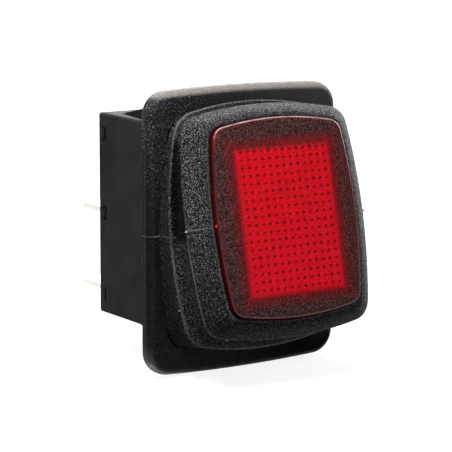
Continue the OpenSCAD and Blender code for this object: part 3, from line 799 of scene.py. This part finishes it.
def sized_tree(name, sizes):
    """A new tree with a named input for each size, and those inputs' sockets."""
    tree = bpy.data.node_groups.new(name, "GeometryNodeTree")
    for label, value in sizes.items():
        kind = "NodeSocketInt" if isinstance(value, int) else "NodeSocketFloat"
        made = tree.interface.new_socket(label, in_out="INPUT", socket_type=kind)
        made.default_value = value
    tree.interface.new_socket("Geometry", in_out="OUTPUT", socket_type="NodeSocketGeometry")
    return tree, tree.nodes.new("NodeGroupInput").outputs


def painted(tree, shape, material):
    """Ends a tree: its shape is made real and takes its material."""
    real = tree.nodes.new("GeometryNodeRealizeInstances")
    paint = tree.nodes.new("GeometryNodeSetMaterial")
    paint.inputs["Material"].default_value = material
    tree.links.new(shape, real.inputs[0])
    tree.links.new(real.outputs[0], paint.inputs["Geometry"])
    tree.links.new(paint.outputs[0], tree.nodes.new("NodeGroupOutput").inputs[0])
    return tree


def grown(name, tree, sizes):
    """The plain mesh that a tree gives for these sizes."""
    holder = bpy.data.objects.new(name + "_holder", bpy.data.meshes.new(name + "_start"))
    bpy.context.scene.collection.objects.link(holder)
    grow = holder.modifiers.new("grow", "NODES")
    grow.node_group = tree
    for socket in tree.interface.items_tree:
        if socket.item_type == "SOCKET" and socket.in_out == "INPUT":
            grow[socket.identifier] = sizes[socket.name]
    return settled(holder, name, None)


def coil_tree(material):
    """Winds wire: a spiral path, a round section, then its material."""
    tree, sizes = sized_tree("wound_wire", {"Turns": 7.0, "Radius": 0.8 * mm,
                                            "Length": 5 * mm, "Wire": 0.2 * mm})
    path = tree.nodes.new("GeometryNodeCurveSpiral")
    section = tree.nodes.new("GeometryNodeCurvePrimitiveCircle")
    sweep = tree.nodes.new("GeometryNodeCurveToMesh")
    path.inputs["Resolution"].default_value = 28
    section.inputs["Resolution"].default_value = 10
    sweep.inputs["Fill Caps"].default_value = True
    for out, into in ((sizes["Turns"], path.inputs["Rotations"]),
                      (sizes["Radius"], path.inputs["Start Radius"]),
                      (sizes["Radius"], path.inputs["End Radius"]),
                      (sizes["Length"], path.inputs["Height"]),
                      (sizes["Wire"], section.inputs["Radius"]),
                      (path.outputs[0], sweep.inputs["Curve"]),
                      (section.outputs[0], sweep.inputs["Profile Curve"])):
        tree.links.new(out, into)
    return painted(tree, sweep.outputs[0], material)


spring_steel = tinned_metal("spring_steel", (0.6, 0.61, 0.62), (0.7, 0.7, 0.7))
wound_wire = coil_tree(spring_steel)
wire = 0.2 * mm


def spring(name, node, turns, radius, foot, top, bodies):
    """A spring from foot to top, both in metres, that gives between two bodies."""
    line = top - foot
    mesh = grown(name, wound_wire, {"Turns": float(turns), "Radius": radius * mm,
                                    "Length": line.length - 2 * wire, "Wire": wire})
    turn = line.to_track_quat("Z", "Y").to_matrix().to_4x4()
    start = foot + line.normalized() * wire
    mesh.transform(Matrix.Translation(start) @ turn)
    shade(mesh, 60)
    piece = new_piece(name, mesh, spring_steel, None)
    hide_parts(node)
    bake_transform(piece, *bodies, start=tuple(foot), end=tuple(top))


plunger_x = 6.2
plunger_head, tube_end = -1.18, 2.58
for side, s in (("left", -1), ("right", 1)):
    low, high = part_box("lamp_spring_" + side)
    x = (low.x + high.x) / 2
    spring("lamp_lead_spring_" + side, "lamp_spring_" + side, turns=7, radius=0.8,
           foot=Vector((x, high.y, 0)), top=Vector((x, low.y, 0)),
           bodies=("frame", "rocker_body"))
    spring("plunger_push_spring_" + side, "plunger_spring_" + side, turns=5, radius=0.85,
           foot=rocker_place(plunger_x * s, plunger_head, 0),
           top=rocker_place(plunger_x * s, tube_end, 0),
           bodies=("plunger_%s_body" % side, "rocker_body"))

# ---- Plungers ------------------------------------------------------------------
# Two ball-nosed pins of phenolic plastic in the rocker's tubes.

phenolic = moulded_nylon("plunger_phenolic", (0.42, 0.33, 0.24), 0.4, 0.4)
for side in ("left", "right"):
    node = "plunger_" + side
    part = new_piece(node + "_pin", eased_copy(node, node + "_pin", 0.05),
                     phenolic, node + "_body")
    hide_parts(node)

# ---- Lens ----------------------------------------------------------------------
# The red acrylic window cap. Its face is grained like the rubber, its edge is
# left clear and shows as a bright line, and the plate behind darkens the
# border round the lit window.

window_w, window_h = 8.05, 10.25
window_x, window_v = 0.2, -0.45
prism_pitch_x, prism_pitch_v = 1.16, 1.13


def clear_red():
    """Polished red acrylic at the lens's rim: deep, and bright along the edge with its glow and a painted
    highlight.
    """
    clear = Finish("lens_red_clear", (0.05, 0.0015, 0.002), 0.16, 0.25)
    body = clear.mix(clear.span(clear.noise(300, 2), 0.3, 0.7),
                     (0.014, 0.0006, 0.0008), (0.042, 0.001, 0.0016))
    clear.join(clear.span(clear.noise(1800, 2), 0.3, 0.7, 0.12, 0.22), "Roughness")
    # the light that the acrylic carries comes out along its edge, most at the bottom
    edge_light = clear.attribute("painted_light_and_flash")
    clear.skin.inputs["Emission Color"].default_value = (1, 0.03, 0.05, 1)
    patches = clear.span(clear.noise(900, 3), 0.35, 0.65, 0.02, 0.12)
    lower = clear.span(clear.axes(clear.place)["Z"], -9 * mm, -12 * mm, 1.0, 5.0)
    clear.join(clear.times(edge_light, clear.times(patches, lower)), "Emission Strength")
    body = clear.mix(edge_light, body, (0.11, 0.003, 0.014))
    # the pale rim is a painted highlight; past 1.5 it is a bare nub of red without it
    rim = clear.times(clear.calc("POWER", edge_light, 4.0),
                      clear.span(clear.noise(2600, 2), 0.35, 0.6, 0.4, 1.0))
    rim = clear.times(rim, clear.calc("LESS_THAN", edge_light, 1.5))
    clear.join(clear.mix(rim, body, (0.27, 0.165, 0.15)), "Base Color")
    return clear.material


def grained_red():
    """Grained red acrylic over the light: a soft-edged lit window in a border
    that the plate behind it darkens."""
    lens = Finish("lens_red_grained", (0.05, 0.012, 0.011), 0.45, 0.05)
    level = lens.node("ShaderNodeMapping", Vector=lens.place, Rotation=(tilt, 0, 0),
                      Location=(0, -pivot_y * mm * math.cos(tilt), -pivot_y * mm * math.sin(tilt)))
    x, _, v = lens.axes(level.outputs[0])
    from_middle = lens.calc("SUBTRACT", x, window_x * mm)
    off_x = lens.calc("SUBTRACT", lens.calc("ABSOLUTE", from_middle), window_w * mm)
    off_v = lens.calc("SUBTRACT", lens.calc("ABSOLUTE", lens.calc("SUBTRACT", v, window_v * mm)),
                      window_h * mm)
    outside = lens.calc("MAXIMUM", off_x, off_v)
    grain = lens.noise(5600, 2, rough=0.7)
    glint = lens.span(grain, 0.47, 0.64)
    # the light stands higher between the columns of prisms
    wave = lens.calc("COSINE", lens.times(from_middle, 2 * math.pi / (prism_pitch_x * mm)))
    window_top = window_v + window_h
    top_only = lens.span(v, (window_top - 2) * mm, (window_top - 1) * mm)
    outside = lens.calc("ADD", outside, lens.times(lens.times(wave, top_only), 0.2 * mm))
    # ragged by the grain, because the light is scattered at the face
    speck = lens.span(grain, 0.35, 0.65, -0.5, 0.5)
    ragged = lens.calc("ADD", outside, lens.times(speck, 0.4 * mm))
    lit = lens.span(ragged, 0.35 * mm, -0.75 * mm, smooth=True)
    halo = lens.span(outside, 2.3 * mm, -0.1 * mm, smooth=True)
    # patches of the border let a little red through, fewer at the bottom
    mottled = lens.times(lens.span(v, -11 * mm, -5 * mm),
                         lens.span(lens.noise(1500, 3), 0.42, 0.6))
    hollow = lens.mix(mottled, (0.0035, 0.0018, 0.0018), (0.03, 0.0016, 0.0016))
    border = lens.mix(glint, hollow, (0.108, 0.056, 0.053))
    # the right-hand edge's light creeps back under the face
    bowed = lens.calc("ADD", x, lens.times(lens.times(v, v), lens_bow * mm / (lens_h * mm) ** 2))
    creeping = lens.span(bowed, (lens_w - 1.3) * mm, (lens_w - 0.3) * mm, 0.0, 0.7, smooth=True)
    border = lens.mix(creeping, border, (0.085, 0.006, 0.008))
    warmed = lens.mix(halo, border, lens.mix(glint, (0.06, 0.003, 0.004), (0.2, 0.016, 0.018)))
    # stray light shows dimly above the window, more to the right
    stray = lens.times(lens.span(v, (window_top + 1.3) * mm, (window_top + 0.9) * mm),
                       lens.span(x, -6 * mm, 2 * mm))
    stray = lens.times(stray, lens.span(off_x, 0.1 * mm, -0.3 * mm))
    stray = lens.times(stray, lens.span(v, 0, window_h * mm))
    warmed = lens.mix(stray, warmed, lens.mix(glint, (0.09, 0.006, 0.006), (0.22, 0.014, 0.016)))
    lit_red = lens.mix(glint, (0.26, 0.002, 0.006), (0.46, 0.005, 0.012))
    lens.join(lens.mix(lit, warmed, lit_red), "Base Color")
    glow = lens.times(lit, lens.span(grain, 0.36, 0.64, 0.12, 0.29))
    streaks = lens.times(wave, lens.span(v, 0, window_h * mm, -0.05, -0.35))
    glow = lens.times(glow, lens.calc("ADD", streaks, 1.0))
    lens.skin.inputs["Emission Color"].default_value = (1, 0.004, 0.022, 1)
    lens.join(glow, "Emission Strength")
    lens.relief(grain, 0.08 * mm)
    return lens.material


edge = 0.22
skirt_end = 10.95
skirt_t, front_t = 1.2, 1.6


def lens_ring(inset, n):
    """The lens's outline, smaller by the inset."""
    return rocker_ring(lens_w - inset, lens_h - inset, lens_bow, lens_bow,
                       max(lens_r - inset, 0.6), n)


# the skirt's hollow inside, then its foot, its outside and the rounded front edge
rings = [rocker_ring(lens_w - skirt_t, lens_h - skirt_t, 0.8, 0.8, lens_r - 1, n)
         for n in (lens_front - front_t, skirt_end)]
rings += [lens_ring(0, skirt_end), lens_ring(0, lens_front - edge - 0.25)]
rings += [lens_ring(edge * (1 - math.cos(a)), lens_front - edge * (1 - math.sin(a)))
          for a in (math.radians(d) for d in range(0, 91, 10))]
rings += [lens_ring(edge + 0.12, lens_front - 0.03)]
# the rounded front edge's rings carry its glow and its painted highlight
lens_mesh = skin_mesh("lens_cap", rings, closed=False, smooth=50,
                      ring_paint={4: 0.4, 5: 0.4, 6: 0.5, 7: 0.7, 8: 1.0, 9: 1.0, 10: 1.0,
                              11: 1.0, 12: 1.0, 13: 0.8})


def lens_edge_light(p, edge_paint):
    """Most of the carried light comes out at the top edge, least at the sides."""
    return edge_paint * max(0.3 * share(p.z, 14.5, -12), share(p.z, 12.5, 15.5),
                     0.72 * share(-p.z, 11, 13))


repaint_light_and_shade(lens_mesh, lens_edge_light)
sliver(lens_mesh, rocker_place(-lens_w, 13.2, -0.3), (0.14, 0.16, 0.26), 5)
lens = new_piece("lens_cap", lens_mesh, clear_red(), "rocker_body")
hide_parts("lens")

rings = [lens_ring(inset, lens_front - under) for inset, under in
         ((edge - 0.04, 0.08), (edge - 0.04, 0.015), (edge, 0), (edge + 0.4, 0), (2.2, 0))]
face_mesh = skin_mesh("lens_face", rings, closed=False, smooth=50)
new_piece("lens_face", face_mesh, grained_red(), "rocker_body")

# The light is spread by rows of small prisms behind the window; each shows as
# a dark point in the red.


def prism_tree(material):
    """A grid of small low domes on the window's plane."""
    tree, sizes = sized_tree("prism_rows", {"Width": 14 * mm, "Height": 19 * mm,
                                            "Dot": 0.16 * mm, "Columns": 13, "Rows": 18})
    grid = tree.nodes.new("GeometryNodeMeshGrid")
    dot = tree.nodes.new("GeometryNodeMeshIcoSphere")
    flat = tree.nodes.new("GeometryNodeTransform")
    place = tree.nodes.new("GeometryNodeInstanceOnPoints")
    dot.inputs["Subdivisions"].default_value = 2
    flat.inputs["Scale"].default_value = (1, 1, 0.2)
    for out, into in ((sizes["Width"], grid.inputs["Size X"]),
                      (sizes["Height"], grid.inputs["Size Y"]),
                      (sizes["Columns"], grid.inputs["Vertices X"]),
                      (sizes["Rows"], grid.inputs["Vertices Y"]),
                      (sizes["Dot"], dot.inputs["Radius"]),
                      (dot.outputs["Mesh"], flat.inputs["Geometry"]),
                      (grid.outputs["Mesh"], place.inputs["Points"]),
                      (flat.outputs[0], place.inputs["Instance"])):
        tree.links.new(out, into)
    return painted(tree, place.outputs[0], material)


def prism_red():
    """The dark red of a prism's flank."""
    red = Finish("prism_red", (0.09, 0.004, 0.006), 0.6, 0.0)
    red.join(red.mix(red.span(red.noise(900, 2), 0.35, 0.65),
                     (0.09, 0.008, 0.005), (0.26, 0.01, 0.008)), "Base Color")
    return red.material


columns, rows = 13, 18
prism_r = 0.26
prism_material = prism_red()
dots_mesh = grown("light_prisms", prism_tree(prism_material),
                  {"Width": prism_pitch_x * (columns - 1) * mm,
                   "Height": prism_pitch_v * (rows - 1) * mm,
                   "Dot": prism_r * mm, "Columns": columns, "Rows": rows})
# the grid lies flat at the origin: up its rows is up the lens's face
middle = rocker_place(window_x + 0.1, lens_front, window_v + 0.35)
lay = Matrix.Rotation(math.pi / 2 - tilt, 4, "X")
dots_mesh.transform(Matrix.Translation(middle) @ lay)
dots_mesh.shade_smooth()
new_piece("light_prisms", dots_mesh, prism_material, "rocker_body")

# ---- Table and backdrop ----------------------------------------------------------
# A plain pale table that keeps the shadow, and a plain white surround.

def shown_rays(tree):
    """1 on the rays that show the surround, 0 on those that light by it."""
    path = tree.nodes.new("ShaderNodeLightPath")
    shown = path.outputs["Is Camera Ray"]
    for ray in ("Is Glossy Ray", "Is Transmission Ray"):
        either = tree.nodes.new("ShaderNodeMath")
        either.operation = "MAXIMUM"
        tree.links.new(shown, either.inputs[0])
        tree.links.new(path.outputs[ray], either.inputs[1])
        shown = either.outputs[0]
    return shown


def table_paper():
    """White paper: it shows near white, and takes a soft shadow."""
    paper = Finish("table_paper", (0.2, 0.2, 0.2), 0.9, 0.0)
    paper.skin.inputs["Emission Color"].default_value = (1, 1, 1, 1)
    # the far end of the paper is as white as the surround
    white = paper.span(paper.away((0, 0, 0)), 0.1, 0.5, 0.88, 1.0)
    paper.join(paper.times(shown_rays(paper.tree), white), "Emission Strength")
    return paper.material


table_half = 4
table_gap = 0.05 * mm
table_z = min(cad_box[0].z, -flange_h * mm) - table_gap
shape = bmesh.new()
bmesh.ops.create_grid(shape, x_segments=8, y_segments=8, size=table_half)
bmesh.ops.translate(shape, verts=shape.verts, vec=(0, 0, table_z))
table_mesh = bpy.data.meshes.new("table")
shape.to_mesh(table_mesh)
shape.free()
table_mesh.materials.append(table_paper())
table = bpy.data.objects.new("table", table_mesh)
bpy.context.scene.collection.objects.link(table)

world = bpy.data.worlds.new("surround")
bpy.context.scene.world = world
world.use_nodes = True
sky = world.node_tree
dim_fill = 0.06
level = sky.nodes.new("ShaderNodeMapRange")
level.inputs["To Min"].default_value = dim_fill
level.inputs["To Max"].default_value = 1.0
sky.links.new(shown_rays(sky), level.inputs["Value"])
back = sky.nodes["Background"]
back.inputs["Color"].default_value = (1, 1, 1, 1)
sky.links.new(level.outputs["Result"], back.inputs["Strength"])


def soft_lamp(name, power, size, place):
    """A square soft box that looks at the switch."""
    data = bpy.data.lights.new(name, "AREA")
    data.energy = power
    data.shape = "RECTANGLE"
    data.size = data.size_y = size
    lamp = bpy.data.objects.new(name, data)
    bpy.context.scene.collection.objects.link(lamp)
    lamp.location = place
    lamp.rotation_euler = (-Vector(place)).to_track_quat("-Z", "Y").to_euler()


soft_lamp("overhead", 8.6, 0.3, (-0.1, -0.02, 0.6))
soft_lamp("near_left", 0.047, 0.012, (-0.046, -0.036, 0.056))
soft_lamp("back_rim", 1.6, 0.3, (0.25, 0.42, 0.2))
soft_lamp("right_side", 2.2, 0.2, (0.45, 0.1, 0.12))

# ---- Camera --------------------------------------------------------------------
# A long lens, a little above the switch and to its left.

camera_data = bpy.data.cameras.new("camera")
camera = bpy.data.objects.new("camera", camera_data)
bpy.context.scene.collection.objects.link(camera)
bpy.context.scene.camera = camera
camera_data.sensor_width = 36
camera_data.lens = 166.41
azimuth, elevation, roll = (math.radians(a) for a in (-33.51, 9.72, 0.16))
distance = 299.25 * mm
look_at = Vector((-1.85, 0, 0.04)) * mm
away = Vector((math.sin(azimuth) * math.cos(elevation),
               -math.cos(azimuth) * math.cos(elevation), math.sin(elevation)))
camera.location = look_at + away * distance
upright = away.to_track_quat("Z", "Y").to_matrix()
camera.rotation_euler = (upright @ Matrix.Rotation(roll, 3, "Z")).to_euler()
camera_data.clip_start = 0.01
camera_data.clip_end = 20

bpy.context.scene.view_settings.view_transform = "Standard"
